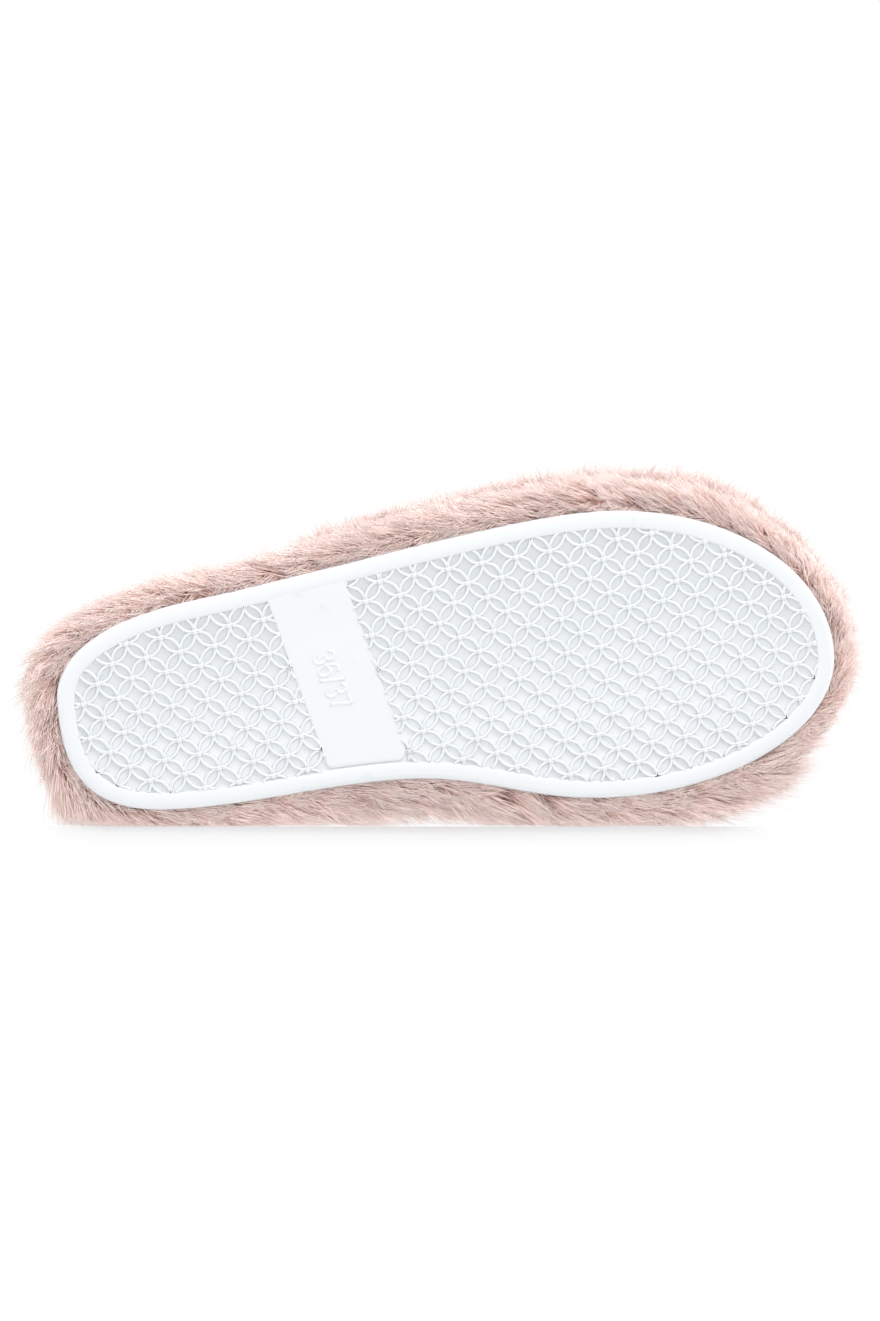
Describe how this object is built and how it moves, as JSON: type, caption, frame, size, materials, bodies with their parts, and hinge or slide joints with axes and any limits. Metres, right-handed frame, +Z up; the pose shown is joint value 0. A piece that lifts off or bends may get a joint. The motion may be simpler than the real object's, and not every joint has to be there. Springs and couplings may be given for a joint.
{
  "type": "fluffy house slipper",
  "caption": "Closed-toe, open-heel faux-fur slipper with a wrapped foam platform, plush footbed and moulded patterned sole.",
  "frame": {"origin": "middle of the bounding box, on the floor under the sole", "axes": "+Z up, toe towards -Y, big-toe side towards +X"},
  "size_m": [0.1132, 0.2694, 0.09],
  "materials": {
    "sole_rubber": "satin white moulded",
    "foam": "open foam",
    "fur": "long-pile faux fur, dusty pink",
    "plush": "short-pile plush, pale dusty pink",
    "thread": "spun polyester thread"
  },
  "bodies": {
    "root": {"outsole": "sole_rubber", "platform_foam": "foam", "cushion_foam": "foam", "footbed_plush": "plush", "wrapper_fur": "fur", "wrapper_join_thread": "thread", "sole_seam_thread": "thread", "upper_lining": "plush", "upper_foam": "foam", "upper_fur": "fur", "topline_thread": "thread"}
  },
  "joints": []
}
